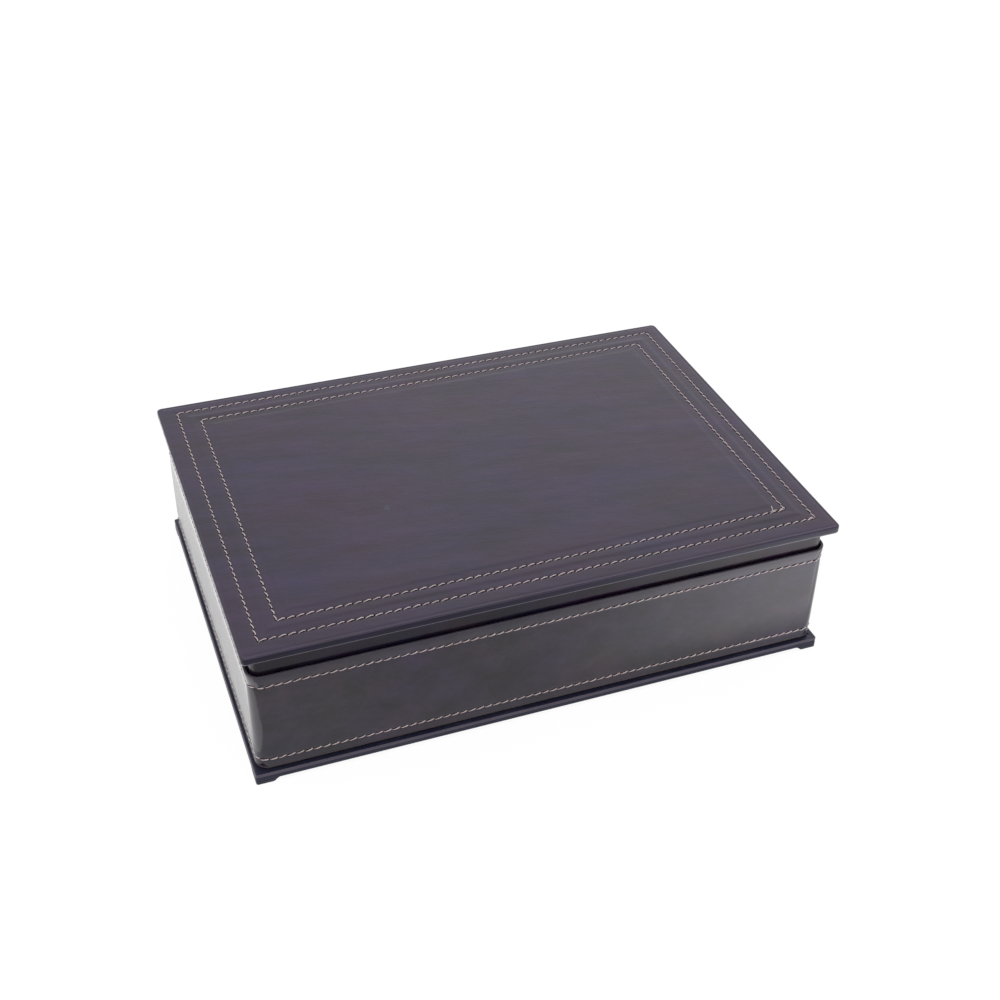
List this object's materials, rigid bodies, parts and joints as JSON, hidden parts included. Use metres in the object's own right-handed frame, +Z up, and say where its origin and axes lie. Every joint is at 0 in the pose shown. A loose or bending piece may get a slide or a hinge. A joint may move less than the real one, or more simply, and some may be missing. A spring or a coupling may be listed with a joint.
{
  "type": "stationery box",
  "caption": "Leather-covered box for A4 paper with stitched sides, a stitched overhanging lid that lifts off, a collar and neck that guide it, and a footed base.",
  "frame": {"origin": "centre of the box's footprint, on the surface that the feet stand on", "axes": "+X along the long side, to the right as seen from the front; +Y from the front to the back; +Z up"},
  "size_m": [0.34, 0.2464, 0.0909],
  "materials": {
    "lid_leather": "smooth, semi-gloss, fine grain",
    "case_leather": "smooth, semi-gloss",
    "collar_leather": "smooth, satin",
    "base_leather": "smooth, painted edges",
    "thread": "waxed thread",
    "board": "raw fibreboard",
    "lining": "short nap",
    "felt": "matt felt"
  },
  "bodies": {
    "case": {"base_board": "board", "base_leather": "base_leather", "base_felt": "felt", "foot_front_left": "base_leather", "foot_front_right": "base_leather", "foot_back_left": "base_leather", "foot_back_right": "base_leather", "front_wall": "board", "back_wall": "board", "left_wall": "board", "right_wall": "board", "case_leather": "case_leather", "case_stitching_top": "thread", "case_stitching_bottom": "thread", "front_lining": "lining", "back_lining": "lining", "left_lining": "lining", "right_lining": "lining", "floor_pad": "lining"},
    "lid": {"lid_board": "board", "lid_leather": "lid_leather", "lid_stitching_outer": "thread", "lid_stitching_inner": "thread", "lid_pad": "lining", "collar_front": "board", "collar_back": "board", "collar_left": "board", "collar_right": "board", "collar_leather": "collar_leather"}
  },
  "joints": [
    {"name": "lid_lift", "type": "slide", "parent": "case", "child": "lid", "axis": [0, 0, 1], "range_m": [0, 0.12]}
  ]
}
